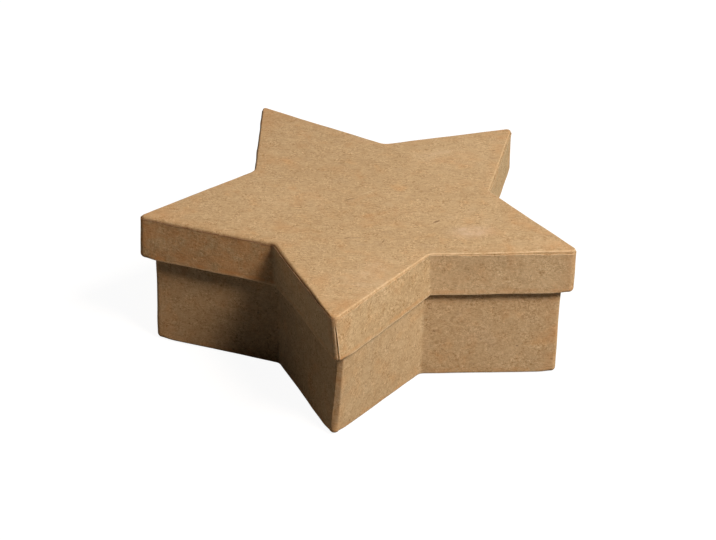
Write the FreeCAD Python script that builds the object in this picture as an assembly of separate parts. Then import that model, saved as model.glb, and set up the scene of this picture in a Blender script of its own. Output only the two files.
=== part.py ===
import FreeCAD, Part
import math
import os

os.makedirs("parts", exist_ok=True)

# A star box of stiff board covered in brown paper: an open box, and a lid that lifts straight off.
# The star's axis is Z, one of its points faces -Y, and the underside is at z = 0. Millimetres.

# Overall sizes
point_count = 5
point_reach = 79.0        # axis to a point of the lid, before the point is rounded
notch_reach = 42.3        # axis to a corner between two points of the lid
total_height = 47.0       # underside to the top of the lid
rim_height = 16.0         # top of the lid to the lower edge of its rim

# Sheets, and the room between the rim and the box
board = 1.5
paper = 0.25
lid_clearance = 0.4

# Round corners of the star, and the eased edge of the board at the closed end of each half
point_round = 2.0
notch_round = 4.0
edge_round = 0.75

# How the paper is laid
rim_wrap_drop = 1.2       # top of the lid to the upper edge of the rim paper
rim_turn_in = 8.0         # rim paper turned up inside the rim
wall_turn_in = 12.0       # wall paper turned down inside the box
bottom_turn_in = 8.0      # wall paper turned in under the floor
bottom_margin = 2.0       # side of the box to the edge of its bottom sheet
lap_reach = 2.0           # how far the end of the wall paper runs on past the front point
wrap_slit = 0.5           # between the ends of the rim paper, at the front point
board_slit = 0.3          # between the ends of each bent strip of board

# The star's angles: from a point to the next corner, and half the angle of a point
pitch = math.radians(180 / point_count)
side_length = math.hypot(point_reach - notch_reach * math.cos(pitch), notch_reach * math.sin(pitch))
side_distance = point_reach * notch_reach * math.sin(pitch) / side_length
half_point = math.asin(side_distance / point_reach)

# Levels
rim_low = total_height - rim_height
ceiling = total_height - paper - board      # the box's wall meets the lid here
floor_low = 2 * paper                       # on the bottom sheet and the turned-in wall paper
floor_high = floor_low + board

# Depths of the layers, measured in from the outer face of each half
rim_outside = 2 * paper                     # the rim's board, under the rim paper and the top sheet
rim_inside = rim_outside + board
wall_outside = paper
wall_inside = wall_outside + board
fold_round = edge_round + paper

# The lid's outer face is the star's outline, and the box's outer face lies this far inside it
lid = 0.0
box = rim_inside + paper + lid_clearance


def polar(reach, angle):
    return FreeCAD.Vector(reach * math.cos(angle), reach * math.sin(angle), 0)


# Outline of one half at a depth under its outer face: straight sides joined by arcs.
# Moving every side inwards by the same distance only scales the star, apart from its corners.
def star_wire(half, depth):
    scale = 1 - (half + depth) / side_distance
    corners = []
    for k in range(point_count):
        angle = 2 * k * pitch - math.pi / 2
        corners.append((polar(point_reach * scale, angle), max(point_round - depth, 0)))
        corners.append((polar(notch_reach * scale, angle + pitch), notch_round + depth))
    edges = []
    last = None
    for k in range(-1, len(corners)):
        here, radius = corners[k]
        back = (corners[k - 1][0] - here).normalize()
        ahead = (corners[(k + 1) % len(corners)][0] - here).normalize()
        half_angle = back.getAngle(ahead) / 2
        start = here + back * (radius / math.tan(half_angle))
        end = here + ahead * (radius / math.tan(half_angle))
        if last:
            edges.append(Part.LineSegment(last, start).toShape())
            if radius:
                inward = (back + ahead).normalize()
                middle = here + inward * (radius / math.sin(half_angle) - radius)
                edges.append(Part.Arc(start, middle, end).toShape())
        last = end
    return Part.Wire(edges)


# Star-shaped plate of one half, between two heights
def plate(half, depth, low, high):
    outline = star_wire(half, depth)
    outline.translate(FreeCAD.Vector(0, 0, low))
    return Part.Face(outline).extrude(FreeCAD.Vector(0, 0, high - low))


# Upright band that follows the star, between two depths and two heights
def band(half, outside, inside, low, high):
    return plate(half, outside, low, high).cut(plate(half, inside, low, high))


# Rounds all the edges of a plate that lie level at one height
def ease(solid, height, radius):
    level = [edge for edge in solid.Edges
             if max(abs(edge.BoundBox.ZMin - height), abs(edge.BoundBox.ZMax - height)) < 1e-4]
    return solid.makeFillet(radius, level)


# Parts a band at the front point, where the two ends of its strip meet
def part_ends(solid, half, inside, width):
    reach = point_reach - half / math.sin(half_point)
    run = inside / math.sin(half_point) + 2 * width
    corner = FreeCAD.Vector(-width / 2, -reach, 0)
    return solid.cut(Part.makeBox(width, run, total_height, corner))


# Lid: board over the top, let into the bent strip of the rim
def lid_top_board():
    return plate(lid, rim_inside, ceiling, total_height - paper)


def lid_rim_strip():
    low = rim_low + paper
    high = total_height - paper
    strip = ease(plate(lid, rim_outside, low, high), high, edge_round)
    strip = strip.cut(plate(lid, rim_inside, low, high))
    return part_ends(strip, lid, rim_inside, board_slit)


# Paper over the top, with its margin turned down over the rim's board
def lid_top_sheet():
    low = rim_low + paper
    high = total_height - paper
    over = ease(plate(lid, paper, low, total_height), total_height, fold_round)
    under = ease(plate(lid, rim_outside, low, high), high, edge_round)
    return over.cut(under)


# Paper round the rim, folded under its lower edge and up inside
def lid_rim_wrap():
    inside = rim_inside + paper
    high = total_height - rim_wrap_drop
    wrap = ease(plate(lid, 0, rim_low, high), rim_low, paper)
    wrap = wrap.cut(plate(lid, paper, rim_low + paper, high))
    wrap = wrap.cut(plate(lid, inside, rim_low, high))
    wrap = wrap.fuse(band(lid, rim_inside, inside, rim_low, rim_low + rim_turn_in))
    return part_ends(wrap.removeSplitter(), lid, inside, wrap_slit)


# Box: board floor, let into the bent strip of the wall
def box_floor_board():
    return plate(box, wall_inside, floor_low, floor_high)


def box_wall_strip():
    high = ceiling - paper
    strip = ease(plate(box, wall_outside, floor_low, high), floor_low, edge_round)
    strip = strip.cut(plate(box, wall_inside, floor_low, high))
    return part_ends(strip, box, wall_inside, board_slit)


# Paper round the wall: turned in under the floor, over the top edge and down inside.
# Its outer end laps over the other at the front point.
def box_wall_wrap():
    inside = wall_inside + paper
    wrap = ease(plate(box, 0, paper, ceiling), ceiling, paper)
    wrap = ease(wrap, paper, fold_round)
    core = ease(plate(box, wall_outside, floor_low, ceiling - paper), floor_low, edge_round)
    wrap = wrap.cut(core)
    wrap = wrap.cut(plate(box, bottom_turn_in, paper, floor_low))
    wrap = wrap.cut(plate(box, inside, ceiling - paper, ceiling))
    wrap = wrap.fuse(band(box, wall_inside, inside, ceiling - wall_turn_in, ceiling))
    reach = point_reach - box / math.sin(half_point)
    lap = band(box, -paper, 0, paper + fold_round, ceiling - paper)
    corner = FreeCAD.Vector(0, -reach, 0)
    lap = lap.common(Part.makeBox(lap_reach, point_reach / 2, total_height, corner))
    return wrap.fuse(lap).removeSplitter()


# Flat paper under the box, over the turned-in edges of the wall paper
def box_bottom_sheet():
    return plate(box, bottom_margin, 0, paper)


pieces = [lid_top_board, lid_rim_strip, lid_top_sheet, lid_rim_wrap,
          box_floor_board, box_wall_strip, box_wall_wrap, box_bottom_sheet]

for piece in pieces:
    shape = piece()
    room = shape.BoundBox
    print(piece.__name__, "solids", len(shape.Solids), "valid", shape.isValid(),
          "volume", round(shape.Volume, 1),
          "box", [round(v, 2) for v in (room.XMin, room.YMin, room.ZMin, room.XMax, room.YMax, room.ZMax)])
    shape.exportStep("parts/" + piece.__name__ + ".step")
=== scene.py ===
import bmesh
import bpy
import math
import numpy as np
from mathutils import Matrix, Vector


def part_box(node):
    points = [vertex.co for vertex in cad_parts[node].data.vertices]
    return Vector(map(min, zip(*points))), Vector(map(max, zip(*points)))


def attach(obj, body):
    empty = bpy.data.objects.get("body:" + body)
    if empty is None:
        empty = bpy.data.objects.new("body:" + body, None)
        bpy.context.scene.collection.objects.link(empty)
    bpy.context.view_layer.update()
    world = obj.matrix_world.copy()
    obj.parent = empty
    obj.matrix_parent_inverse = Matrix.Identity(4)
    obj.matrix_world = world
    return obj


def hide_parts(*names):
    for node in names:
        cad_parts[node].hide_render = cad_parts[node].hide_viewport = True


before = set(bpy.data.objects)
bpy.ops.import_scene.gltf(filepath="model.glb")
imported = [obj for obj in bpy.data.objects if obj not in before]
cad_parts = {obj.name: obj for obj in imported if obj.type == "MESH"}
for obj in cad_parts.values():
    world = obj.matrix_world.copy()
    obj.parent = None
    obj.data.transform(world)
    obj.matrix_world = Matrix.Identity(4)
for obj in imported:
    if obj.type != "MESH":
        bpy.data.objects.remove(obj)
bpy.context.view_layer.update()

mm = 0.001  # shapes are worked out in millimetres and put into the meshes in metres
print("frame loaded")


# Lowest and highest corner of a node, in millimetres
def nodeBox(node):
    return np.array([list(corner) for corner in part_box(node)]) / mm


lidTop = nodeBox("lid_top_sheet")[1][2]
ceiling = nodeBox("lid_top_board")[0][2]
rimLow = nodeBox("lid_rim_wrap")[0][2]
frontReach = -nodeBox("lid_rim_wrap")[0][1]
wallTop = nodeBox("box_wall_wrap")[1][2]
floorLow, floorTop = nodeBox("box_floor_board")[:, 2]

sheets = {
    "paper": 0.25,  # thickness
    "board": 1.5,
    "air": 0.02,  # between glued layers, so that no two faces share a place
    "boxInset": 2.65,  # outer face of the box's wall, in from the outer face of the rim
}

paperLayer = sheets["paper"] + sheets["air"]
cornerCount = 10  # five points and five notches, by turns

# The star as it was made by hand, at the foot, at the rim's lower edge and at the top. Corners run
# counter-clockwise from the front point: how much further each lies from the axis than in an even
# star, and how far it swings round, in millimetres.
starShape = {
    "pointReach": frontReach + 0.6,
    "notchReach": 42.1,
    "middle": (0.0, -0.2),
    "heights": [0.0, rimLow, lidTop],
    "reachMore": [
        [0.0, -0.3, -0.8, -0.1, -1.7, -0.9, 0.27, 0.1, -0.8, 1.0],
        [0.9, -0.3, -1.6, -0.1, -2.0, -0.9, 0.27, 0.2, -0.9, 1.23],
        [1.15, -0.6, -1.6, -0.1, -1.7, -0.7, 0.27, 0.2, -1.1, 0.8],
    ],
    "swing": [
        [-0.25, 0.0, -0.8, -0.3, 0.2, -1.1, -0.54, -1.2, 0.7, 0.0],
        [1.65, 1.1, 0.4, -0.1, 0.3, -1.1, -0.54, -1.2, 0.4, 0.61],
        [0.1, 0.2, 0.4, -0.1, 0.3, -1.1, -0.54, -1.2, 0.4, -0.3],
    ],
    "footEasing": 1.3,  # power with which the foot's shape gives way to the rim's
    "leastRadius": 0.03,
    "sideLength": 46.0,  # of each side, about
}


# An amount that grows in a straight line, from none at a start to all of it over a length
def ramp(value, start, length, amount=1):
    return amount * np.clip((value - start) / length, 0, 1)


# An amount at a middle that falls off as a bell, to e to the minus one of it at a width on both sides
def bell(value, middle, width, amount=1, power=2):
    return amount * np.exp(-((value - middle) / width) ** power)


# Smooth unevenness: plane waves of about one wavelength in scattered directions, added together
def unevenness(points, wavelength, seed, waves=16, spread=(0.7, 1.4)):
    rng = np.random.default_rng(seed)
    direction = rng.normal(size=(waves, 3))
    direction /= np.linalg.norm(direction, axis=1)[:, None]
    pace = 2 * math.pi / wavelength * rng.uniform(*spread, waves)
    phase = rng.uniform(0, 2 * math.pi, waves)
    return np.sin(points @ (direction * pace[:, None]).T + phase).sum(-1) / math.sqrt(waves)


# Layers of unevenness added together, each given as (size, wavelength, seed)
def wander(points, layers):
    return sum(size * unevenness(points, wavelength, seed) for size, wavelength, seed in layers)


# One level's corners with the miter beside them, which is how a corner moves when both its sides move
# out by one: the sum of the two normals over one plus their dot product.
def makeStar(level, inset):
    k = np.arange(cornerCount)
    angle = -math.pi / 2 + k * 2 * math.pi / cornerCount
    reach = np.where(k % 2 == 0, starShape["pointReach"], starShape["notchReach"])
    outward = np.stack([np.cos(angle), np.sin(angle)], -1)
    across = np.stack([-np.sin(angle), np.cos(angle)], -1)
    corner = outward * (reach + starShape["reachMore"][level])[:, None] + np.array(starShape["middle"])
    corner += across * np.array(starShape["swing"][level])[:, None]
    side = np.roll(corner, -1, 0) - corner
    after = np.stack([side[:, 1], -side[:, 0]], -1) / np.linalg.norm(side, axis=1)[:, None]
    before = np.roll(after, 1, 0)
    miter = (before + after) / (1 + (before * after).sum(-1, keepdims=True))
    start = np.arctan2(before[:, 1], before[:, 0])
    turn = np.arctan2(after[:, 1], after[:, 0]) - start
    turn = (turn + math.pi) % (2 * math.pi) - math.pi
    return {
        "corner": corner - miter * inset,
        "miter": miter,
        "heading": start + turn / 2,
        "halfTurn": turn / 2,
        "sign": np.where(k % 2 == 0, 1.0, -1.0),
    }


# The lid or the box, from its dictionary: its outline at each level, with some corners moved
# above the foot, the radii of its corners by height, its flat front edge and how its faces swell
def makeHalf(inset, maker):
    stars = [makeStar(level, inset) for level in range(3)]
    for corner, move in maker.get("cornerMoves", {}).items():
        for star in stars[1:]:
            star["corner"][corner] += move
    return {
        "stars": stars,
        "roundHeights": maker["roundHeights"],
        "radii": np.array(maker["radii"]),
        "flatTurn": maker.get("flatTurn", 0.0),
        "flatHeights": maker.get("flatHeights", [0, 1]),
        "swell": maker["swell"],
    }


# Where the samples of an outline lie: on the arc of corner a, turned from -1 to 1 along it, or a
# share of the way from there to the arc of the next corner. They run counter-clockwise from the
# front point's arc and back to it. A strip starts at one turn of that arc and ends at another. The
# arcs have a few steps, finer at the front point, and a side's steps crowd towards its ends.
def outlineSamples(start=0.0, end=0.0, frontStep=1 / 6, sideSteps=44, arcSteps=12):
    even = np.arange(1, sideSteps) / sideSteps
    along = (even + (1 - np.cos(math.pi * even)) / 2) / 2
    runs = [(0, np.linspace(start, 1, round((1 - start) / frontStep) + 1), np.zeros(1))]
    for k in range(cornerCount):
        runs.append((k, np.ones(1), along))
        if k < cornerCount - 1:
            runs.append((k + 1, np.linspace(-1, 1, arcSteps + 1), np.zeros(1)))
    last = np.linspace(-1, end, round((1 + end) / frontStep) + 1)
    runs.append((0, last[:-1] if start == end else last, np.zeros(1)))
    a = np.concatenate([np.full(max(len(turn), len(share)), k) for k, turn, share in runs])
    turn = np.concatenate([turn + 0 * share for k, turn, share in runs])
    share = np.concatenate([share + 0 * turn for k, turn, share in runs])
    return {"a": a, "turn": turn, "share": share}


# Points of an outline, at depths under the outer face and at heights. On a corner: the arc's centre
# plus its radius along the heading. On a side: a share of the way between the ends of two arcs. With
# depth, the arc of a point tightens and that of a notch opens. A flat on the front point's arc is the
# chord of its middle part. The levels are mixed by height.
def outlinePoints(half, samples, depth, height):
    heights = half["roundHeights"]
    levelShares = [np.interp(height, heights, row) for row in np.eye(len(heights))]
    flatness = np.interp(height, half["flatHeights"], [0, 1])

    # On corner k's arc: its centre, in from the corner along the miter, plus the radius along the heading
    def onArc(star, k, turn):
        sign = star["sign"][k][:, None]
        radius = sum(share * row[k][:, None] for share, row in zip(levelShares, half["radii"]))
        radius = np.maximum(radius - sign * depth, starShape["leastRadius"])
        halfTurn = star["halfTurn"][k][:, None]
        heading = star["heading"][k][:, None] + turn * halfTurn
        direction = np.stack([np.cos(heading), np.sin(heading)], -1)
        middle = (depth + sign * radius)[..., None] * star["miter"][k][:, None]
        onFlat = np.minimum(np.abs(turn), half["flatTurn"]) * halfTurn
        chord = np.cos(half["flatTurn"] * halfTurn) / np.cos(onFlat)
        reach = radius * (1 - flatness * (k == 0)[:, None] * (1 - chord))
        return star["corner"][k][:, None] - middle + (sign * reach)[..., None] * direction

    # One level's outline: a share of the way from this corner's arc to the start of the next one's
    def outline(star):
        share = samples["share"][:, None, None]
        turn = samples["turn"].reshape(len(samples["a"]), -1)
        here = onArc(star, samples["a"], turn + samples.get("lean", 0))
        there = onArc(star, (samples["a"] + 1) % cornerCount, -1 + 0 * turn)
        return here * (1 - share) + there * share

    foot, rim, top = starShape["heights"]
    upper = ramp(height, rim, top - rim)[..., None]
    lower = ramp(rim - height, 0, rim - foot)[..., None] ** starShape["footEasing"]
    outlines = [outline(star) for star in half["stars"]]
    return lower * outlines[0] + (1 - lower - upper) * outlines[1] + upper * outlines[2]


# Carries a section round the star: the outline's points at the section's depths, at its heights.
# Unevenness moves all layers of a half together.
def aroundStar(half, samples, depth, height):
    flat = outlinePoints(half, samples, depth, height)
    points = np.concatenate([flat, height[..., None]], -1)
    flat = outlinePoints(half, samples, depth - wander(points, half["swell"]), height)
    return np.concatenate([flat, height[..., None]], -1)


# The outer outline as points at a height of 0, for unevenness along it
def outlineTrack(half, samples):
    count = len(samples["a"])
    flat = outlinePoints(half, samples, np.zeros((count, 1)), np.full((count, 1), rimLow))
    return np.concatenate([flat[:, 0], np.zeros((count, 1))], 1)


# Values given corner by corner: on a side, a share of the one before and the rest of the one after
def fromCorners(samples, values):
    values, share = np.array(values), samples["share"]
    return values[samples["a"]] * (1 - share) + values[(samples["a"] + 1) % cornerCount] * share


# Values given side by side, changing over evenly on the arcs between them
def fromSides(samples, values):
    values, over = np.array(values), (samples["turn"] + 1) / 2
    return values[samples["a"]] * over + values[samples["a"] - 1] * (1 - over)


# A radius that is one thing along the sides and another at the star's points, fading between the two
# as a bell over the distance from a point's arc
def roundAtPoints(samples, along, atPoints, fade=3.0):
    onPoint = samples["a"] % 2 == 0
    away = np.where(onPoint, samples["share"], 1 - samples["share"]) * starShape["sideLength"]
    return along + (atPoints - along) * bell(away, 0, fade)


# A bell of the distance from points to the nearest of a half's five tips
def tipBell(half, points, *shape):
    tips = half["stars"][1]["corner"][::2]
    return bell(np.linalg.norm(points[..., None, :2] - tips, axis=-1).min(-1), *shape)


# A section through paper or board: straight runs between corners given as (depth, height), with
# quarter arcs at the corners, all turning left, moved to the left by an offset. A corner moves
# along its miter, and its arc tightens by the offset. Each run has its number of steps, which crowd
# towards its ends.
def sectionPath(corners, radii, offset, steps, arcSteps=6):
    size = max(np.size(value) for corner in corners for value in corner + tuple(radii))
    corners = [np.stack([value + np.zeros(size) for value in corner], -1) for corner in corners]
    ways = [after - before for before, after in zip(corners[:-1], corners[1:])]
    ways = [way / np.linalg.norm(way, axis=1)[:, None] for way in ways]
    lefts = [np.stack([-way[:, 1], way[:, 0]], -1) for way in ways]
    theta = np.linspace(0, math.pi / 2, arcSteps + 1)[:, None]

    # A straight run from start to stop, by half a cosine wave
    def run(start, stop, count):
        share = (1 - np.cos(np.linspace(0, math.pi, count + 1)))[:, None] / 2
        return start[:, None] * (1 - share) + stop[:, None] * share

    path = []
    last = corners[0] + lefts[0] * offset
    for i, radius in enumerate(value + np.zeros(size) for value in radii):
        centre = corners[i + 1] + radius[:, None] * (lefts[i] + lefts[i + 1])
        spokes = lefts[i][:, None] * np.cos(theta) + lefts[i + 1][:, None] * np.sin(theta)
        arc = centre[:, None] - (radius - offset)[:, None, None] * spokes
        path += [run(last, arc[:, 0], steps[i])[:, :-1], arc[:, :-1]]
        last = arc[:, -1]
    path.append(run(last, corners[-1] + lefts[-1] * offset, steps[-1]))
    path = np.concatenate(path, 1)
    return path[..., 0], path[..., 1]


# Both faces of a folded sheet as one closed section: out along its face, back along its other side
def foldedSheet(corners, radii, steps):
    face = sectionPath(corners, radii, 0.0, steps)
    back = sectionPath(corners, radii, sheets["paper"], steps)
    return tuple(np.concatenate([f, b[:, ::-1]], 1) for f, b in zip(face, back))


# A flat star from the axis to a ring of points, in rings that crowd towards the edge by a power
def fanInside(ring, count, crowding=1.6):
    share = 1 - (1 - np.arange(count) / count) ** crowding
    centre = np.array([0.0, 0.0, ring[:, 2].mean()])
    return centre + (ring[:, None] - centre) * share[None, :, None]


# A star-shaped plate with slightly eased edges, closed to the axis above and below
def plateGrid(half, depth, low, high, ease=0.08, flat=2.5, rings=14):
    samples = outlineSamples()
    corners = [(depth + flat, high), (depth, high), (depth, low), (depth + flat, low)]
    section = sectionPath(corners, [ease, ease], 0.0, [3, 2, 3], 2)
    edge = aroundStar(half, samples, *(np.repeat(part, len(samples["a"]), 0) for part in section))
    return np.concatenate([fanInside(edge[:, 0], rings), edge, fanInside(edge[:, -1], rings)[:, ::-1]], 1)


stripSamples = outlineSamples(0.07, -0.07)  # a board strip's ends stand this far from the front point


# A strip of board bent round the star, with eased edges: the lower one along the sides and at the
# points, and the upper one
def stripGrid(half, depth, low, high, lowEase, highEase):
    inside = depth + sheets["board"]
    corners = [(inside, high), (depth, high), (depth, low), (inside, low), (inside, high)]
    radii = [highEase, roundAtPoints(stripSamples, *lowEase), 0.05]
    section = sectionPath(corners, radii, 0.0, [3, 10, 3, 10], 4)
    return aroundStar(half, stripSamples, *(part[:, :-1] for part in section))


# A mesh from a grid of points: quads between neighbours, rows closed round the star or capped at
# the strip's ends, columns closed round the section or running from pole to pole on the axis. Faces
# turn outwards when the sum of their cross products with their places is positive. Paint is worn,
# stained and rusty places, and painted light and shade, as numbers from 0 to 1 for each point.
def gridMesh(name, points, closedStar, closedSection, paint=None, mergeWithin=1e-7, sharpFrom=50):
    rows, columns = points.shape[:2]
    i = np.arange(rows if closedStar else rows - 1)
    j = np.arange(columns if closedSection else columns - 1)
    i, j = np.meshgrid(i, j, indexing="ij")
    here, there = i * columns, (i + 1) % rows * columns
    nextJ = (j + 1) % columns
    quads = np.stack([here + j, there + j, there + nextJ, here + nextJ], -1).reshape(-1, 4)
    flat = points.reshape(-1, 3) * mm
    a, b, c, d = (flat[quads[:, n]] for n in range(4))
    outside = (np.cross(b - a, c - a) * a).sum() + (np.cross(c - a, d - a) * a).sum() > 0
    faces = (quads if outside else quads[:, ::-1]).tolist()
    if not closedStar:
        caps = [list(range(columns))[::-1], [(rows - 1) * columns + n for n in range(columns)]]
        faces += caps if outside else [cap[::-1] for cap in caps]
    mesh = bpy.data.meshes.new(name)
    mesh.from_pydata(flat.tolist(), [], faces)
    for label, amount in (paint or {}).items():
        layer = mesh.attributes.new(label, "FLOAT", "POINT")
        layer.data.foreach_set("value", (amount + np.zeros((rows, columns))).ravel())
    bm = bmesh.new()
    bm.from_mesh(mesh)
    bmesh.ops.remove_doubles(bm, verts=bm.verts, dist=mergeWithin)
    bm.to_mesh(mesh)
    bm.free()
    mesh.polygons.foreach_set("use_smooth", [True] * len(mesh.polygons))
    mesh.set_sharp_from_angle(angle=math.radians(sharpFrom))
    return mesh


# Puts a mesh in the scene in place of its node, on that node's body
def addPiece(mesh, material, node, body):
    piece = bpy.data.objects.new(mesh.name, mesh)
    bpy.context.scene.collection.objects.link(piece)
    piece.data.materials.append(material)
    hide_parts(node)
    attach(piece, body)


# A shader node of one kind with its settings
def addNode(tree, kind, **settings):
    node = tree.nodes.new("ShaderNode" + kind)
    for key, value in settings.items():
        setattr(node, key, value)
    return node


# Sets sockets of a node from plain values, or links them from other nodes' outputs. An underscore
# and a number name a socket by its place.
def feed(tree, node, **inputs):
    for key, value in inputs.items():
        byPlace = key[0] == "_" and key[1:].isdigit()
        socket = node.inputs[int(key[1:]) if byPlace else key.replace("_", " ")]
        if isinstance(value, bpy.types.NodeSocket):
            tree.links.new(value, socket)
        else:
            socket.default_value = value
    return node


# Smooth noise about a half, at a scale per metre
def noise(tree, where, scale, detail=2.0, roughness=0.5, distortion=0.0):
    node = addNode(tree, "TexNoise")
    feed(tree, node, Vector=where, Scale=scale, Detail=detail, Roughness=roughness, Distortion=distortion)
    return node.outputs["Fac"]


# One step of arithmetic on two values
def math2(tree, operation, a, b, clamp=False):
    node = addNode(tree, "Math", operation=operation, use_clamp=clamp)
    return feed(tree, node, _0=a, _1=b).outputs[0]


# The sum, difference and product of two values
def plus(tree, a, b):
    return math2(tree, "ADD", a, b)


def minus(tree, a, b):
    return math2(tree, "SUBTRACT", a, b)


def times(tree, a, b):
    return math2(tree, "MULTIPLY", a, b)


# Maps a value's range low..high onto 0..1, smoothly
def mask(tree, value, low, high):
    node = addNode(tree, "MapRange", interpolation_type="SMOOTHSTEP")
    return feed(tree, node, Value=value, From_Min=low, From_Max=high).outputs["Result"]


# Colour a, with colour b laid over it or multiplied into it by a factor
def mixColor(tree, factor, a, b, blend="MIX"):
    node = addNode(tree, "Mix", data_type="RGBA", blend_type=blend)
    return feed(tree, node, _0=factor, _6=a, _7=b).outputs[2]


# Coordinates scaled and then turned, so that a pattern is drawn out along one way
def stretched(tree, where, turn, scale):
    node = addNode(tree, "Mapping")
    return feed(tree, node, Vector=where, Rotation=turn, Scale=scale).outputs["Vector"]


# An empty node group with its sockets, given as (name, kind, value) and (name, kind)
def newGroup(name, inputs, outputs):
    group = bpy.data.node_groups.new(name, "ShaderNodeTree")
    for label, kind, value in inputs:
        socket = group.interface.new_socket(label, in_out="INPUT", socket_type="NodeSocket" + kind)
        if value is not None:
            socket.default_value = value
    for label, kind in outputs:
        group.interface.new_socket(label, in_out="OUTPUT", socket_type="NodeSocket" + kind)
    return group, group.nodes.new("NodeGroupInput"), group.nodes.new("NodeGroupOutput")


fibreLook = {
    "streak": (1.0, 1.0, 0.4, 0.6),  # scale, detail, roughness and distortion of the noise
    "turns": [(0.3, 0.2, 0.1), (0.5, -0.3, 1.2), (-0.4, 0.6, 2.2)],
    "pace": (420.0, 2900.0, 2900.0),  # per metre, along a fibre and across it
    "light": (0.60, 0.72),  # its levels at which each kind starts and is full
    "dark": (0.40, 0.28),
    "stray": (0.33, 0.25),
}


# Short fibres lying three ways across the sheet, about 2 mm long and 0.15 mm thick, and the few
# strongest of the dark ones as strays: the highest of three noises, each drawn out one way
def fibreGroup():
    group, into, out = newGroup(
        "paperFibres",
        [("Vector", "Vector", None), ("Scale", "Float", 1.0)],
        [("Light Fibre", "Float"), ("Dark Fibre", "Float"), ("Stray", "Float")],
    )
    scaled = addNode(group, "VectorMath", operation="SCALE")
    feed(group, scaled, _0=into.outputs["Vector"], Scale=into.outputs["Scale"])
    strongest = {}
    for turn in fibreLook["turns"]:
        across = stretched(group, scaled.outputs[0], turn, fibreLook["pace"])
        streak = noise(group, across, *fibreLook["streak"])
        for label in ("light", "dark", "stray"):
            found = mask(group, streak, *fibreLook[label])
            if label in strongest:
                found = math2(group, "MAXIMUM", strongest[label], found)
            strongest[label] = found
    feed(group, out, Light_Fibre=strongest["light"], Dark_Fibre=strongest["dark"], Stray=strongest["stray"])
    return group


fleckLook = {
    "turn": (0.4, 0.3, 0.7),
    "stretch": (1.0, 2.2, 1.4),
    "size": 0.2,  # of the largest, as a share of a cell
    "fade": 0.08,  # width of its edge, as such a share
    "gatherScale": 60.0,  # per metre: specks gather in some places and are missing in others
    "gatherLevels": (0.3, 0.6),
}


# Specks of bark: the middles of a few cells out of many, drawn out one way
def fleckGroup():
    group, into, out = newGroup(
        "barkFlecks",
        [("Vector", "Vector", None), ("Scale", "Float", 1.0), ("Share", "Float", 0.1)],
        [("Fleck", "Float")],
    )
    where = into.outputs["Vector"]
    gathered = mask(group, noise(group, where, fleckLook["gatherScale"], 1.0), *fleckLook["gatherLevels"])
    across = stretched(group, where, fleckLook["turn"], fleckLook["stretch"])
    cells = addNode(group, "TexVoronoi")
    feed(group, cells, Vector=across, Scale=into.outputs["Scale"], Randomness=1.0)
    chosen = feed(group, addNode(group, "SeparateColor"), Color=cells.outputs["Color"])
    size = times(group, chosen.outputs["Green"], fleckLook["size"])
    near = mask(group, minus(group, cells.outputs["Distance"], size), fleckLook["fade"], 0.0)
    few = math2(group, "LESS_THAN", chosen.outputs["Red"], into.outputs["Share"])
    feed(group, out, Fleck=times(group, times(group, near, few), gathered))
    return group


fibres = fibreGroup()
flecks = fleckGroup()

kraftLook = {
    "noises": {  # scale per metre, detail, roughness and distortion
        "cloud": (30.0, 3.0, 0.55, 0.4),
        "mottle": (330.0, 3.0, 0.6),
        "grain": (1150.0, 2.0, 0.6),
        "fine": (2900.0, 2.0, 0.7),
        "crisp": (260.0, 3.0, 0.6),
        "hue": (150.0, 3.0, 0.6),
        "rust": (75.0, 4.0, 0.65, 0.5),
        "edgeRustAndShade": (210.0, 3.0, 0.6),
        "pale": (34.0, 5.0, 0.62, 0.3),
        "broken": (420.0, 3.0, 0.7),
    },
    "levels": {  # of a noise, at which its mask starts and is full
        "crisp": (0.32, 0.68),
        "warm": (0.52, 0.80),
        "cool": (0.48, 0.20),
        "rust": (0.50, 0.74),
        "edgeRustAndShade": (0.30, 0.62),
        "pale": (0.60, 0.76),
        "broken": (0.30, 0.55),
    },
    "shades": {"cloud": 0.27, "mottle": 0.52, "grain": 0.95, "fine": 1.08},
    "crispness": (0.35, 1.3),  # grain's least strength, and how much is added where it is crisp
    "lightFibre": 0.10,  # how much each kind of fibre lightens or darkens
    "darkFibre": 0.11,
    "strayFibre": 0.18,
    "shadeByChannel": (0.82, 1.0, 1.3),  # share of the shade that goes to red, green and blue
    "hueStrength": 0.8,
    "speckStrength": 0.5,
    "speckScale": 430.0,
    "speckShare": 0.10,
    "leastShadeAndStain": 0.55,  # share of painted shade and stain, and of wear and painted highlight, that doesn't break up
    "leastWearAndLight": 0.35,
    "relief": {"grain": 0.6, "fine": 0.4, "mottle": 0.9, "fibre": 0.3},
    "roughness": (0.85, 0.2),  # its middle, and how much the mottle adds
    "warm": (1.07, 0.965, 0.86, 1.0),
    "cool": (0.965, 0.985, 1.03, 1.0),
    "rust": (0.58, 0.28, 0.105, 1.0),
    "pale": (0.68, 0.50, 0.33, 1.0),
    "speck": (0.14, 0.07, 0.03, 1.0),
    # the colour of stains and of painted shade, and the colour of wear and of painted highlight
    "shadeAndStain": (0.13, 0.052, 0.02, 1.0),
    "wear_and_light": (0.86, 0.65, 0.41, 1.0),
}
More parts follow.
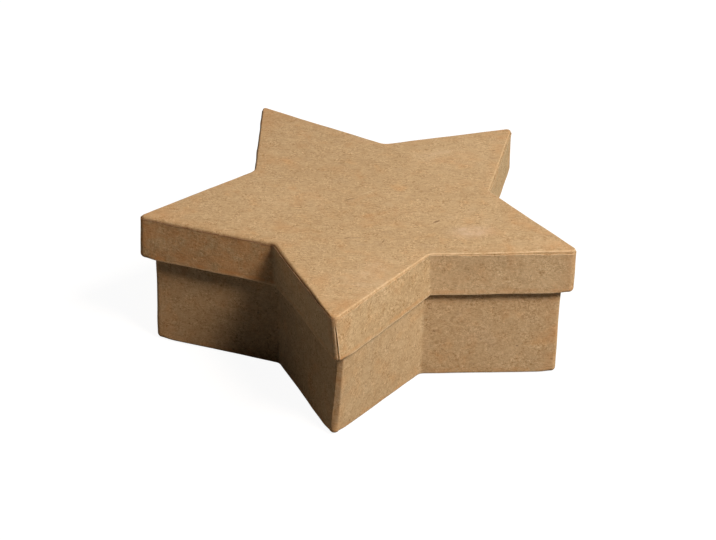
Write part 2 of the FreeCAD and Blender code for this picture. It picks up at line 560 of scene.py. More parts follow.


# Brown kraft paper: cloudy formation, mottle, fibres, bark specks, rusty and pale places, worn creases
# and cut edges that are partly painted highlight, painted shade in margins and gaps, and a redder painted
# shade laid on with the rust. Its tone is multiplied by one plus the shade, and each kind of place is a
# colour laid over that by its mask.
def kraftGroup():
    look = kraftLook
    group, into, out = newGroup(
        "kraftSheet",
        [("Vector", "Vector", None), ("Tone", "Color", None), ("Rust", "Float", 0.3),
         ("Scuff", "Float", 0.3), ("Mottle", "Float", 1.0), ("Wear_and_light", "Float", 0.0),
         ("Stain_and_shade", "Float", 0.0), ("Rust_and_shade", "Float", 0.0)],
        [("Color", "Color"), ("Height", "Float"), ("Roughness", "Float")],
    )
    where = into.outputs["Vector"]
    layer = {name: noise(group, where, *values) for name, values in look["noises"].items()}
    strands = feed(group, addNode(group, "Group", node_tree=fibres), Vector=where, Scale=1.0)
    specks = addNode(group, "Group", node_tree=flecks)
    feed(group, specks, Vector=where, Scale=look["speckScale"], Share=look["speckShare"])

    # Mask of the places where a noise lies beyond its levels
    def places(name, of=None):
        return mask(group, layer[of or name], *look["levels"][name])

    # Light and shade about 0: a noise less its middle, times an amount
    def about(name, amount):
        return times(group, minus(group, layer[name], 0.5), amount)

    crisp = plus(group, look["crispness"][0], times(group, places("crisp"), look["crispness"][1]))
    shades = {name: about(name, amount) for name, amount in look["shades"].items()}
    shade = times(group, plus(group, shades["grain"], shades["fine"]), crisp)
    shade = plus(group, shades["mottle"], shade)
    shade = plus(group, shade, times(group, strands.outputs["Light Fibre"], look["lightFibre"]))
    shade = minus(group, shade, times(group, strands.outputs["Dark Fibre"], look["darkFibre"]))
    shade = minus(group, shade, times(group, strands.outputs["Stray"], look["strayFibre"]))
    shade = plus(group, shades["cloud"], times(group, shade, into.outputs["Mottle"]))
    red, green, blue = (plus(group, 1.0, times(group, shade, part)) for part in look["shadeByChannel"])
    tint = feed(group, addNode(group, "CombineColor"), Red=red, Green=green, Blue=blue)
    color = mixColor(group, 1.0, into.outputs["Tone"], tint.outputs[0], "MULTIPLY")

    for name in ("warm", "cool"):
        inside = times(group, places(name, "hue"), look["hueStrength"])
        color = mixColor(group, inside, color, look[name], "MULTIPLY")
    # the rust places also carry a redder painted shade on one rim face
    rust_and_shade = times(group, places("rust"), into.outputs["Rust"])
    edgeRustAndShade = times(group, places("edgeRustAndShade"), into.outputs["Rust_and_shade"])
    rust_and_shade = math2(group, "ADD", rust_and_shade, edgeRustAndShade, clamp=True)
    color = mixColor(group, rust_and_shade, color, look["rust"])
    color = mixColor(group, times(group, places("pale"), into.outputs["Scuff"]), color, look["pale"])
    speckled = times(group, specks.outputs["Fleck"], look["speckStrength"])
    color = mixColor(group, speckled, color, look["speck"])

    broken = places("broken")
    # stain and painted shade, and wear and painted highlight, each broken up with the sheet
    for label, least, over in (("Stain_and_shade", "leastShadeAndStain", "shadeAndStain"), ("Wear_and_light", "leastWearAndLight", "wear_and_light")):
        kept = plus(group, look[least], times(group, broken, 1 - look[least]))
        color = mixColor(group, times(group, into.outputs[label], kept), color, look[over])

    relief = look["relief"]
    height = times(group, layer["grain"], relief["grain"])
    height = plus(group, height, times(group, layer["fine"], relief["fine"]))
    height = plus(group, height, times(group, strands.outputs["Light Fibre"], relief["fibre"]))
    height = plus(group, height, times(group, layer["mottle"], relief["mottle"]))
    rough = plus(group, look["roughness"][0], about("mottle", look["roughness"][1]))
    feed(group, out, Color=color, Height=height, Roughness=rough)
    return group


kraft = kraftGroup()


# A new material: itself, its tree, its shader and the piece's own coordinates
def newMaterial(name, specular):
    material = bpy.data.materials.new(name)
    material.use_nodes = True
    tree = material.node_tree
    shader = tree.nodes["Principled BSDF"]
    shader.inputs["Specular IOR Level"].default_value = specular
    return material, tree, shader, addNode(tree, "TexCoord").outputs["Object"]


# A soft-edged oval place on the lid's top: 1 in its core, fading out to its edge
def ovalMask(tree, where, place, turn, size, core, deep=10):
    node = addNode(tree, "Mapping", vector_type="TEXTURE")
    feed(tree, node, Vector=where, Location=(place[0] * mm, place[1] * mm, lidTop * mm),
         Rotation=(0.0, 0.0, math.radians(turn)), Scale=(size[0] * mm, size[1] * mm, deep * mm))
    away = feed(tree, addNode(tree, "VectorMath", operation="LENGTH"), _0=node.outputs[0])
    return mask(tree, away.outputs["Value"], 1.0, core)


# Coordinates shifted sideways by noise, by up to a distance each way, so that a mark's edge is ragged
def ragged(tree, where, scale=260.0, shift=0.8):
    bent = addNode(tree, "TexNoise")
    feed(tree, bent, Vector=where, Scale=scale, Detail=2.0)
    across = addNode(tree, "VectorMath", operation="MULTIPLY_ADD")
    feed(tree, across, _0=bent.outputs["Color"], _1=(2 * shift * mm, 2 * shift * mm, 0.0), _2=where)
    centred = addNode(tree, "VectorMath", operation="SUBTRACT")
    return feed(tree, centred, _0=across.outputs[0], _1=(shift * mm, shift * mm, 0.0)).outputs[0]


# A sheet of kraft paper with its own tone, rust, scuffs, mottle, depth of grain in mm, and marks, among them
# the painted shade and highlight of dents
def paperMaterial(name, tone, rust, scuff, mottle, relief, marks=()):
    material, tree, shader, where = newMaterial(name, specular=0.06)
    sheet = addNode(tree, "Group", node_tree=kraft)
    feed(tree, sheet, Vector=where, Tone=tone, Rust=rust, Scuff=scuff, Mottle=mottle)
    for label in ("Wear_and_light", "Stain_and_shade", "Rust_and_shade"):
        paint = addNode(tree, "Attribute", attribute_name=label.lower())
        tree.links.new(paint.outputs["Fac"], sheet.inputs[label])
    color = sheet.outputs["Color"]
    bent = ragged(tree, where) if marks else where
    for place, turn, size, core, tint, strength in marks:
        inside = ovalMask(tree, bent, place, turn, size, core)
        color = mixColor(tree, times(tree, inside, strength), color, tint)
    bump = addNode(tree, "Bump")
    feed(tree, bump, Height=sheet.outputs["Height"], Strength=0.5, Distance=relief * mm)
    feed(tree, shader, Base_Color=color, Roughness=sheet.outputs["Roughness"], Normal=bump.outputs[0])
    return material


boardLook = {
    "tone": (0.30, 0.215, 0.135, 1.0),
    "paler": 1.25,  # the pale parts of its mottle, as a multiple of the tone
    "mottle": (240.0, 4.0, 0.65),  # scale per metre, detail and roughness of the noise
    "mottleLevels": (0.3, 0.7),
    "grain": (1500.0, 2.0, 0.6),
    "pale": (0.35, (0.55, 0.47, 0.36, 1.0)),  # strength and colour of its fibres and specks
    "dark": (0.3, (0.16, 0.11, 0.07, 1.0)),
    "fleck": (0.7, (0.09, 0.06, 0.04, 1.0)),
    "fibreScale": 0.6,
    "fleckScale": 420.0,
    "fleckShare": 0.16,
    "grainRelief": 0.4,  # beside the mottle's
    "relief": 0.2,
    "roughness": 0.92,
}


# Raw pulp board: greyer and coarser than the paper, with more specks. Its tone turns paler with the
# mottle, and fibres and specks are colours laid over it.
def boardMaterial(name):
    look = boardLook
    material, tree, shader, where = newMaterial(name, specular=0.15)
    strands = feed(tree, addNode(tree, "Group", node_tree=fibres), Vector=where, Scale=look["fibreScale"])
    specks = addNode(tree, "Group", node_tree=flecks)
    feed(tree, specks, Vector=where, Scale=look["fleckScale"], Share=look["fleckShare"])
    mottle = noise(tree, where, *look["mottle"])
    grain = noise(tree, where, *look["grain"])
    paleTone = tuple(look["paler"] * c for c in look["tone"][:3]) + (1.0,)
    color = mixColor(tree, mask(tree, mottle, *look["mottleLevels"]), look["tone"], paleTone)
    over = [(strands, "Light Fibre", "pale"), (strands, "Dark Fibre", "dark"), (specks, "Fleck", "fleck")]
    for group, output, key in over:
        strength, tint = look[key]
        color = mixColor(tree, times(tree, group.outputs[output], strength), color, tint)
    height = plus(tree, mottle, times(tree, grain, look["grainRelief"]))
    bump = feed(tree, addNode(tree, "Bump"), Height=height, Strength=0.5, Distance=look["relief"] * mm)
    feed(tree, shader, Base_Color=color, Normal=bump.outputs[0])
    shader.inputs["Roughness"].default_value = look["roughness"]
    return material


# Handling marks on the lid's top: a rubbed place, and dents of hairs, painted with shade on their dark
# side and highlight on their light side, and two dark dots of painted dent shade. Each has its place in
# millimetres, turn in degrees, half length and half width, core as a share of those, colour and strength.
rubbed, dentShade, dentHighlight = (0.68, 0.49, 0.34, 1.0), (0.22, 0.13, 0.06, 1.0), (0.72, 0.54, 0.34, 1.0)
topMarks = [
    ((36.8, -16.8), 20, (10.5, 6.0), 0.2, rubbed, 0.36),
    ((33.6, -15.6), 30, (2.4, 1.5), 0.3, rubbed, 0.4),
    ((35.2, -18.6), 10, (3.2, 1.0), 0.3, rubbed, 0.3),
    ((39.4, -17.6), 60, (2.6, 1.4), 0.3, rubbed, 0.3),
    ((38.0, -13.8), 5, (2.2, 0.9), 0.3, rubbed, 0.25),
    ((-5.3, -1.6), 35, (2.4, 0.45), 0.4, dentShade, 0.75),
    ((0.0, 4.6), 41, (5.0, 0.3), 0.4, dentHighlight, 0.45),
    ((24.7, -11.9), 50, (1.7, 0.5), 0.5, dentShade, 0.8),
    ((25.1, -12.8), 50, (1.4, 0.3), 0.4, dentHighlight, 0.5),
    ((-2.7, -27.4), 39, (1.6, 0.42), 0.4, dentShade, 0.65),
    ((0.0, -27.0), 12, (3.7, 0.3), 0.4, dentShade, 0.4),
    ((9.3, -28.1), 71, (1.3, 0.38), 0.4, dentShade, 0.7),
    ((34.1, -24.9), 0, (0.5, 0.5), 0.4, dentShade, 0.6),
    ((48.8, -7.0), 0, (0.45, 0.45), 0.4, dentShade, 0.6),
]
lidTopPaper = paperMaterial("lid top kraft", (0.522, 0.354, 0.19, 1.0),
                            rust=0.22, scuff=0.45, mottle=0.9, relief=0.14, marks=topMarks)
rimPaper = paperMaterial("rim kraft", (0.514, 0.35, 0.188, 1.0),
                         rust=0.24, scuff=0.25, mottle=1.1, relief=0.21)
wallPaper = paperMaterial("wall kraft", (0.515, 0.352, 0.193, 1.0),
                          rust=0.24, scuff=0.25, mottle=0.9, relief=0.14)
underPaper = paperMaterial("underside kraft", (0.486, 0.331, 0.177, 1.0),
                           rust=0.2, scuff=0.6, mottle=1.0, relief=0.14)
rawBoard = boardMaterial("raw board")
print("materials made")

# A row of ten is given corner by corner, or side by side from the side after the front point. Wear,
# stain and rust, with the painted light and shade laid on with them, run from 0 to 1. A ramp is given as
# (start, length, amount), a bell as (middle, half width, amount), and layers of unevenness as (size,
# wavelength, seed).
lid = {
    "roundHeights": [lidTop - 1.8, lidTop - 0.3],
    "radii": [  # of each corner, at each of those heights
        [1.9, 0.7, 1.8, 1.0, 1.7, 1.0, 1.0, 1.0, 1.8, 1.6],
        [2.0, 3.0, 1.8, 3.2, 1.7, 3.2, 1.0, 5.5, 1.8, 4.8],
    ],
    "swell": [(0.12, 34, 4), (0.036, 9, 5)],
    # corner by corner
    "foldRound": [0.55, 0.55, 0.55, 0.55, 0.55, 0.55, 0.55, 0.6, 1.0, 1.2],  # top edge's radius
    "wrapDrop": [1.2, 0.7, 1.45, 1.3, 1.2, 1.2, 1.2, 1.2, 1.05, 1.15],  # top edge to rim paper
    "rimMore": [-0.25, 0.5, 0.05, 0.0, 0.1, 0.1, 0.0, -0.1, 0.42, 0.58],  # rim's foot above its level
    # side by side
    "rimBow": [0, 0, 0, 0, 0, 0, 0, 0, 0.25, 1.2],  # and more half-way along
    "dropShare": [1, 1, 1, 1, 1, 1, 1, 1, 1, 0.72],  # of the drop from top edge to rim paper
    "edgeWearAndLight": [0.4, 1, 0.4, 0.15, 0.4, 0.4, 0.4, 0.4, 0.12, 0],  # its crease and cut edge, worn pale and partly painted highlight
    "edgeDark": [0, 0.03, 0.07, 0.07, 0.07, 0.07, 0.07, 0.07, 0.24, 0.4],  # painted shade on the strip between them
    "cutEdgeShade": [0, 0, 0, 0, 0, 0, 0, 0, 0.95, 1],  # painted shade on the cut edge itself
    # painted light, lightening whole rim faces
    "rimLight": [0, 0.22, 0, 0, 0, 0, 0, 0, 0, 0.12],
    # painted shade, making the shaded left front face redder
    "rimShadeRed": [0, 0, 0, 0, 0, 0, 0, 0, 0.45, 0],
    # the top
    "topDip": 0.1,
    "dipWander": [(0.05, 60, 8), (0.025, 14, 9)],
    "dipRange": (0.02, 0.25),
    "flatFrom": 2.6,  # in from the edge, where the flat of the top sheet starts
    "skirtLift": 1.0,  # its skirt's lower edge above the rim's foot
    "crease": (0.2, 0.13, 0.85),  # bell of worn paper and painted highlight, down from the top
    "margin": (0.5, 0.25),  # ramp of painted shade, further down
    "slitShade": (1.6, 0.8, 0.2),  # ramp of painted shade where the slit shows it, further down
    "tipRust": (0, 11, 0.35),  # bell round each tip
    "borderRust": (0.92, 0.08, 0.12),  # ramp of the share of the way from the axis to the edge
    "sideRust": 0.4,  # share of the rust that the skirt has
    "paleToRight": (10, 40, 0.06),  # ramp of paler colour to the right
    "darkToLeftBack": (0, 70, 0.1),  # ramp of darker colour along a way to the left and back
    "darkWay": (-0.8, 0.6),
    "knocked": (0, 1.6, 0.9, 4),  # flat bell of wear round the left tip
    # the rim
    "lowRound": (0.3, 1.5),  # radius at its foot, along the sides and at the points
    "innerRound": 0.35,
    "turnIn": 8.0,
    "cutWander": [(0.12, 7, 21), (0.06, 2.5, 22)],
    "footWander": [(0.06, 16, 24)],
    "slitLean": [0.26, 0.12],  # turn on the front point's arc where the slit stands, at foot and top
    "slitHalf": 0.15,  # half of its width, as such a turn
    "slitOpens": [0.5, 1.6, 11.4, 13.4],  # above the foot: closed, open, open, closed
    "lipReach": 0.32,  # of its lips, as such a turn
    "lipLift": 0.08,  # how far they stand off
    # painted highlight on its lips
    "lipHighlight": 0.8,
    "cutLift": 0.05,  # how far the cut edge stands off
    "cutLiftWander": [(0.05, 11, 23)],
    "cutLiftMost": 0.12,
    "cutLiftOver": 0.8,  # fades over this distance below it
    "cutWearAndLight": (0, 0.2, 0.8),  # bells, down from the cut edge: worn paper with painted highlight, and painted shade
    "cutShade": (0, 0.16, 1),
    "foldWear": (0.25, 0.22, 0.5),  # bells, up from the foot
    "footRust": (1.2, 0.5, 0.4),
    "rimTipRust": (0, 4.5, 0.5),
    # the boards
    "rimBoardDrop": 0.3,  # below the top sheet
    "rimBoardLift": 0.15,  # above the paper under it
    "rimBoardEase": (0.15, 1.0),
    "rimBoardTopEase": 0.7,
    "topBoardRise": 0.2,  # above the rim's board
}
lidHalf = makeHalf(0.0, lid)
skirtDepth = paperLayer
rimBoardDepth = skirtDepth + paperLayer
topBoardDepth = rimBoardDepth + sheets["board"] + sheets["air"]
rimInside = topBoardDepth + sheets["paper"]


# Height of the rim's foot: its level, plus what each corner adds, plus each side's bow as a half sine
def rimFoot(samples):
    bow = fromSides(samples, lid["rimBow"]) * np.sin(math.pi * samples["share"])
    return rimLow + fromCorners(samples, lid["rimMore"]) + bow


# The top lies a little hollow and uneven between its edges: what is above the ceiling sinks by a dip
# plus unevenness
def settleTop(points):
    dip = np.clip(lid["topDip"] + wander(points, lid["dipWander"]), *lid["dipRange"])
    settled = points.copy()
    settled[..., 2] -= np.where(points[..., 2] > ceiling - 0.1, dip, 0)
    return settled


# The slit leans: its middle is a turn on the front point's arc that changes evenly with height
def slitLean(height):
    return np.interp(height, [rimLow, lidTop - 1], lid["slitLean"])


# Nearness to the slit in the rim paper at the front point: a bell of the turn away from its middle,
# and none on the sides and the other corners
def slitNearness(samples, middle, fade, far=9):
    elsewhere = far * samples["share"] + far * (samples["a"] > 0)
    return bell(np.abs(samples["turn"][:, None] - middle) + elsewhere[:, None], 0, fade, power=4)


# Strength of a worn line along the outline: nearly full, broken up by unevenness
def brokenLine(track, wavelength, seed, strength=0.85, change=0.4, least=0.3):
    return np.clip(strength + wander(track, [(change, wavelength, seed)]), least, 1)


# The top sheet: flat to the fold, then down over the rim's board. Its crease is worn pale and partly
# painted highlight, and it is painted with shade between the crease and the rim paper's edge, and where the
# slit shows it.
def lidTopSheet(topRings=40, underRings=12):
    samples = outlineSamples()
    skirtFoot = rimFoot(samples) + sheets["paper"] + lid["skirtLift"]
    corners = [(lid["flatFrom"], lidTop), (skirtDepth, lidTop), (skirtDepth, skirtFoot)]
    depth, height = foldedSheet(corners, [fromCorners(samples, lid["foldRound"])], [6, 8])
    edge = aroundStar(lidHalf, samples, depth, height)
    inner, under = fanInside(edge[:, 0], topRings), fanInside(edge[:, -1], underRings)[:, ::-1]
    grid = np.concatenate([inner, edge, under], 1)

    below = lidTop - height
    skirt = depth < 1.6  # the fold and what hangs down from it
    broken = brokenLine(outlineTrack(lidHalf, samples), 4, 31)
    # the crease: worn pale and partly painted highlight
    crease = bell(below, *lid["crease"]) * skirt * (broken * fromSides(samples, lid["edgeWearAndLight"]))[:, None]
    # painted shade on the strip between the crease and the rim paper's edge
    margin = ramp(below, *lid["margin"]) * skirt * fromSides(samples, lid["edgeDark"])[:, None]
    # painted shade on the sheet where the slit shows it
    inSlit = slitNearness(samples, slitLean(height), 0.5) * ramp(below, *lid["slitShade"])

    reach = np.linalg.norm(grid[..., :2], axis=-1)
    reach = reach / reach[:, topRings - 1:topRings]
    rust_and_shade = tipBell(lidHalf, grid, *lid["tipRust"]) + ramp(reach, *lid["borderRust"])
    rust_and_shade *= np.where(grid[..., 2] > lidTop - 0.3, 1, lid["sideRust"])
    paleToRight = ramp(grid[..., 0], *lid["paleToRight"])
    leftTip = np.append(lidHalf["stars"][2]["corner"][8], lidTop - 0.4)
    knocked = bell(np.linalg.norm(grid - leftTip, axis=-1), *lid["knocked"])
    darkToLeftBack = ramp(grid[..., :2] @ np.array(lid["darkWay"]), *lid["darkToLeftBack"])
    around = ((0, 0), (topRings, underRings))
    paint = {
        "wear_and_light": np.maximum(np.pad(crease, around), np.maximum(paleToRight, knocked)),
        "stain_and_shade": np.maximum(np.pad(np.maximum(margin, inSlit), around), darkToLeftBack),
        "rust_and_shade": rust_and_shade,
    }
    return gridMesh("lid_top_paper", settleTop(grid), True, False, paint)


# The rim paper: up the rim to its cut edge, folded under and up inside. Its cut edge and the lips of
# its slit stand off a little. The cut edge is worn pale and partly painted highlight, with painted shade on
# it on the shaded sides, the lips are painted highlight, and two faces are painted lighter and one redder as
# painted light and shade. The slit closes towards the top and the foot.
def lidRimWrap():
    samples = outlineSamples(lid["slitHalf"], -lid["slitHalf"], 0.06)
    track = outlineTrack(lidHalf, samples)
    upper = lidTop - fromCorners(samples, lid["wrapDrop"]) * fromSides(samples, lid["dropShare"])
    upper += wander(track, lid["cutWander"])
    lower = rimFoot(samples) + wander(track, lid["footWander"])
    radius = roundAtPoints(samples, *lid["lowRound"])
    corners = [(0.0, upper), (0.0, lower), (rimInside, lower), (rimInside, rimLow + lid["turnIn"])]
    depth, height = foldedSheet(corners, [radius, lid["innerRound"]], [12, 5, 6])

    nearSlit = np.clip(1 - np.abs(samples["turn"]), 0, 1)[:, None] * (samples["a"] == 0)[:, None]
    closing = np.interp(height, lower.min() + np.array(lid["slitOpens"]), [0, 1, 1, 0])
    narrower = np.sign(samples["turn"])[:, None] * lid["slitHalf"] * (closing - 1)
    samples["lean"] = (slitLean(height) + narrower) * nearSlit
    outside = depth < 0.6  # both faces of the paper on the rim
    lip = slitNearness(samples, 0.0, lid["lipReach"]) * outside * closing
    below, above = upper[:, None] - height, height - lower[:, None]
    lift = np.clip(lid["cutLift"] + wander(track, lid["cutLiftWander"]), 0, lid["cutLiftMost"])[:, None]
    lifted = lift * np.exp(-below / lid["cutLiftOver"]) * outside
    points = aroundStar(lidHalf, samples, depth - lifted - lid["lipLift"] * lip, height)

    outer = depth < 0.3  # its outer face and cut edges
    # the cut edge: worn pale and partly painted highlight
    cutEdge = bell(below, *lid["cutWearAndLight"])
    cutEdge *= (brokenLine(track, 5, 32) * fromSides(samples, lid["edgeWearAndLight"]))[:, None]
    # worn fold, and painted light on whole rim faces
    wear_and_light = np.maximum(bell(above, *lid["foldWear"]), fromSides(samples, lid["rimLight"])[:, None])
    rust_and_shade = tipBell(lidHalf, points, *lid["rimTipRust"]) + bell(above, *lid["footRust"])
    # a redder painted shade on the rim's left front face
    rust_and_shade += fromSides(samples, lid["rimShadeRed"])[:, None]
    paint = {
        # painted highlight on the slit's lips
        "wear_and_light": np.maximum(np.maximum(cutEdge, wear_and_light) * outer, lid["lipHighlight"] * lip),
        # painted shade on the cut edge on the shaded sides
        "stain_and_shade": bell(below, *lid["cutShade"]) * outside * fromSides(samples, lid["cutEdgeShade"])[:, None],
        "rust_and_shade": np.clip(rust_and_shade * outer, 0, 1),
    }
    return gridMesh("lid_rim_paper", points, False, True, paint)


# The rim's board, from above the paper that is folded under it to just below the top sheet
def lidRimBoard(high):
    low = rimFoot(stripSamples) + sheets["paper"] + lid["rimBoardLift"]
    grid = stripGrid(lidHalf, rimBoardDepth, low, high, lid["rimBoardEase"], lid["rimBoardTopEase"])
    return gridMesh("lid_rim_board", grid, False, True)


# The top's board, inside the rim's and as hollow as the top sheet
def lidTopPanel(high):
    return gridMesh("lid_top_panel", settleTop(plateGrid(lidHalf, topBoardDepth, ceiling, high)), True, False)


rimBoardTop = lidTop - sheets["paper"] - lid["rimBoardDrop"]
addPiece(lidTopSheet(), lidTopPaper, "lid_top_sheet", "lid")
addPiece(lidRimWrap(), rimPaper, "lid_rim_wrap", "lid")
addPiece(lidRimBoard(rimBoardTop), rawBoard, "lid_rim_strip", "lid")
addPiece(lidTopPanel(rimBoardTop + lid["topBoardRise"]), rawBoard, "lid_top_board", "lid")
print("lid made")

box = {
    "roundHeights": [0, 4, 12, 22],
    "radii": [  # of each corner, at each of those heights
        [1.6, 3.0, 1.2, 3.0, 1.5, 3.0, 1.5, 3.0, 1.6, 3.0],
        [1.6, 1.4, 1.2, 1.4, 1.5, 1.4, 1.5, 1.4, 1.5, 1.4],
        [1.5, 1.6, 1.1, 1.4, 1.5, 1.4, 1.5, 1.4, 1.5, 1.4],
        [1.35, 1.6, 1.1, 1.4, 1.5, 1.4, 1.5, 1.4, 1.5, 1.4],
    ],
    "swell": [(0.12, 34, 14), (0.036, 9, 15)],
    "cornerMoves": {0: (0.35, 0.0), 1: (-0.5, -0.9), 2: (0.3, 0.0), 9: (-0.48, 0.88)},  # above the foot
    "flatTurn": 0.6,  # the front edge is pressed flat between these turns of its arc
    "flatHeights": [2, 6],  # from there upwards
    "topRound": 0.4,
    "lowRound": (0.7, 1.6),  # radius at its foot, along the sides and at the points
    "turnIn": 12.0,
    "underTurn": 8.0,
    "bottomMargin": 2.0,
    # turns on the front point's arc
    "lapStart": 0.5,  # where the wall paper starts, under its other end
    "lapEnd": 1.0,  # where that end stops
    "lapClimb": (-0.8, 1.2),  # ramp of its step up over the other
    "bandFrom": (-0.6, 0.2),  # ramp into the darker band that it makes
    "cutEndWidth": 0.07,
    "cutEndWear": 0.45,
    "bandHeights": [7, 14],  # the band fades in between these
    "bandStain": 0.08,
    "bandRust": 0.14,
    "tipRust": (0, 5, 0.3),
    "footRust": (1.4, 0.8, 0.35),
    # the boards
    "boardLift": 0.1,  # above the papers under them
    "wallBoardEase": (0.5, 1.4),
    "wallBoardTopEase": 0.1,
}
boxHalf = makeHalf(sheets["boxInset"], box)
wallBoardDepth = paperLayer
floorDepth = wallBoardDepth + sheets["board"] + sheets["air"]
wallInside = floorDepth + sheets["paper"]


# The wall paper: down inside, over the top edge, down the wall and in under the floor. Its outer end
# steps up over the other on the front point's arc and ends a little past it.
def boxWallWrap():
    samples = outlineSamples(box["lapStart"], box["lapEnd"], 0.05)
    corners = [(wallInside, wallTop - box["turnIn"]), (wallInside, wallTop), (0.0, wallTop),
               (0.0, paperLayer), (box["underTurn"], paperLayer)]
    radii = [box["topRound"], box["topRound"], roundAtPoints(samples, *box["lowRound"])]
    depth, height = foldedSheet(corners, radii, [6, 4, 24, 6])
    order = np.arange(len(samples["a"])) / len(samples["a"])
    atEnd = (order > 0.5) & (samples["a"] == 0)
    over = ramp(samples["turn"], *box["lapClimb"]) * atEnd
    outer = 1 - ramp(depth, 0.35, 0.4)  # the paper on the wall, and not what is folded in
    depth = depth - paperLayer * over[:, None] * outer
    points = aroundStar(boxHalf, samples, depth, height)

    face = (depth < 0.1) * (height < rimLow + 2)  # its outer face, where the rim leaves it open
    cutEnd = bell(samples["turn"], box["lapEnd"], box["cutEndWidth"]) * atEnd
    onBand = (ramp(samples["turn"], *box["bandFrom"]) * atEnd * (1 - cutEnd))[:, None]
    onBand = onBand * np.interp(height, box["bandHeights"], [0, 1]) * face
    rust_and_shade = tipBell(boxHalf, points, *box["tipRust"]) + bell(height, *box["footRust"])
    paint = {
        "wear_and_light": box["cutEndWear"] * cutEnd[:, None] * face,
        "stain_and_shade": box["bandStain"] * onBand,
        "rust_and_shade": np.maximum(rust_and_shade * face, box["bandRust"] * onBand),
    }
    return gridMesh("box_wall_paper", points, False, True, paint)


# The wall's board, from above the floor's papers to just under the paper over its top edge
def boxWallBoard():
    low, high = floorLow + box["boardLift"], wallTop - paperLayer
    grid = stripGrid(boxHalf, wallBoardDepth, low, high, box["wallBoardEase"], box["wallBoardTopEase"])
    return gridMesh("box_wall_board", grid, False, True)


# A flat piece of the box: a plate at a depth inside the wall's face, from one height to another
def boxPlate(name, depth, low, high):
    return gridMesh(name, plateGrid(boxHalf, depth, low, high), True, False)


addPiece(boxWallWrap(), wallPaper, "box_wall_wrap", "box")
addPiece(boxWallBoard(), rawBoard, "box_wall_strip", "box")
floorPanel = boxPlate("box_floor_panel", floorDepth, floorLow + box["boardLift"], floorTop)
addPiece(floorPanel, rawBoard, "box_floor_board", "box")
underSheet = boxPlate("box_under_paper", box["bottomMargin"], 0.0, sheets["paper"])
addPiece(underSheet, underPaper, "box_bottom_sheet", "box")
print("box made")

studio = {
    "floorHalf": 4,  # metres from its middle to its edges
    "floorGap": 0.2,  # mm under the box, so that the two don't share a place
    "dull": (0.195, 0.195, 0.195, 1.0),  # as the light that bounces off the floor finds it
    "matt": (0.14, 0.14, 0.14, 1.0),  # as the camera finds it, so that shadows show
    "white": (1.0, 1.0, 1.0, 1.0),
    "floorGlow": 0.94,
    "skyLight": 0.005,  # strength of the surroundings on the object
    "skySeen": 1.0,  # and as the camera sees them
}


# 1 for rays that come straight from the camera, a mirror or glass
def seenRays(tree):
    rays = addNode(tree, "LightPath")
    seen = math2(tree, "MAXIMUM", rays.outputs["Is Camera Ray"], rays.outputs["Is Glossy Ray"])
    return math2(tree, "MAXIMUM", seen, rays.outputs["Is Transmission Ray"])


# Pale floor: bright where the camera or a mirror sees it, dull to the light that bounces off it
def floorMaterial():
    material = bpy.data.materials.new("studio floor")
    material.use_nodes = True
    tree = material.node_tree
    tree.nodes.clear()
    dull = feed(tree, addNode(tree, "BsdfDiffuse"), Color=studio["dull"])
    matt = feed(tree, addNode(tree, "BsdfDiffuse"), Color=studio["matt"])
    glow = feed(tree, addNode(tree, "Emission"), Color=studio["white"], Strength=studio["floorGlow"])
    bright = feed(tree, addNode(tree, "AddShader"), _0=matt.outputs[0], _1=glow.outputs[0])
    both = addNode(tree, "MixShader")
    feed(tree, both, _0=seenRays(tree), _1=dull.outputs[0], _2=bright.outputs[0])
    feed(tree, addNode(tree, "OutputMaterial"), Surface=both.outputs[0])
    return material


far = studio["floorHalf"]
floorMesh = bpy.data.meshes.new("studio_floor")
floorMesh.from_pydata([(-far, -far, 0), (far, -far, 0), (far, far, 0), (-far, far, 0)], [], [(0, 1, 2, 3)])
floorMesh.materials.append(floorMaterial())
floor = bpy.data.objects.new("studio_floor", floorMesh)
floor.location.z = -studio["floorGap"] * mm
bpy.context.scene.collection.objects.link(floor)


# Unit vector towards an azimuth, counter-clockwise from the front as seen from above, and an elevation
def directionTo(azimuth, elevation):
    a, e = math.radians(azimuth), math.radians(elevation)
    return Vector((math.sin(a) * math.cos(e), -math.cos(a) * math.cos(e), math.sin(e)))


# A soft square lamp, some way off in a direction, aimed at the middle of the box
def addLamp(name, azimuth, elevation, distance, size, power, color):
    away = directionTo(azimuth, elevation)
    light = bpy.data.lights.new(name, "AREA")
    light.size = size
    light.energy = power
    light.color = color
    lamp = bpy.data.objects.new(name, light)
    lamp.location = Vector((0, 0, lidTop * mm / 2)) + away * distance
    lamp.rotation_mode = "QUATERNION"
    lamp.rotation_quaternion = away.to_track_quat("Z", "Y")
    bpy.context.scene.collection.objects.link(lamp)


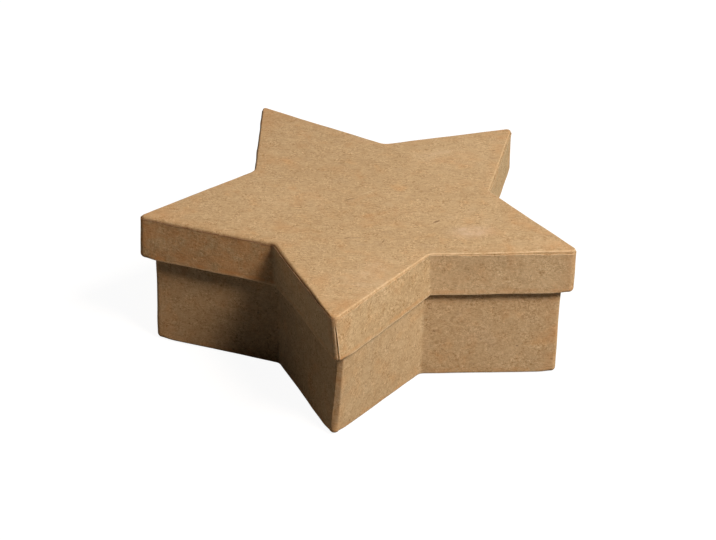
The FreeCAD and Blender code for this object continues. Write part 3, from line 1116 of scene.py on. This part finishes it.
# Azimuth and elevation in degrees, distance and size in metres, power in watts, colour
lamps = {
    "key": (53, 47.5, 1.6, 0.45, 25.7, (1.0, 0.82, 0.69)),
    "side": (74, 42, 1.8, 0.6, 13.1, (0.6, 0.87, 1.0)),
    "right_back": (140, 10, 1.8, 0.6, 7.0, (0.7, 0.9, 1.0)),
    "back": (180, 8, 1.8, 0.8, 15.0, (1.0, 1.0, 1.0)),
    "left_back": (243, 17, 1.8, 0.6, 2.95, (1.0, 0.76, 0.5)),
}
for name, values in lamps.items():
    addLamp(name, *values)

# The surroundings are white where they are seen, and give hardly any light
world = bpy.data.worlds.new("studio")
world.use_nodes = True
sky = world.node_tree
sky.nodes.clear()
strength = addNode(sky, "MapRange")
feed(sky, strength, Value=seenRays(sky), To_Min=studio["skyLight"], To_Max=studio["skySeen"])
backdrop = feed(sky, addNode(sky, "Background"), Color=studio["white"], Strength=strength.outputs[0])
feed(sky, addNode(sky, "OutputWorld"), Surface=backdrop.outputs[0])
bpy.context.scene.world = world

# Angles in degrees, aim and distance in millimetres
cameraView = {
    "azimuth": 6.9,
    "elevation": 30.0,
    "roll": 1.3,
    "aim": (3.5, -46.3, lidTop - 0.7),
    "distance": 707.6,
    "lens": 113.6,
    "sensor": 36,
    "clip": (0.01, 20),
}
azimuth, roll = math.radians(cameraView["azimuth"]), math.radians(cameraView["roll"])
back = directionTo(cameraView["azimuth"], cameraView["elevation"])
level = Vector((math.cos(azimuth), math.sin(azimuth), 0))
upright = back.cross(level)
right = level * math.cos(roll) + upright * math.sin(roll)
up = upright * math.cos(roll) - level * math.sin(roll)
lens = bpy.data.cameras.new("camera")
lens.lens = cameraView["lens"]
lens.sensor_width = cameraView["sensor"]
lens.clip_start, lens.clip_end = cameraView["clip"]
camera = bpy.data.objects.new("camera", lens)
turned = Matrix((right, up, back)).transposed().to_4x4()
place = (Vector(cameraView["aim"]) + back * cameraView["distance"]) * mm
camera.matrix_world = Matrix.Translation(place) @ turned
bpy.context.scene.collection.objects.link(camera)
bpy.context.scene.camera = camera
bpy.context.scene.view_settings.view_transform = "Standard"
print("studio made")
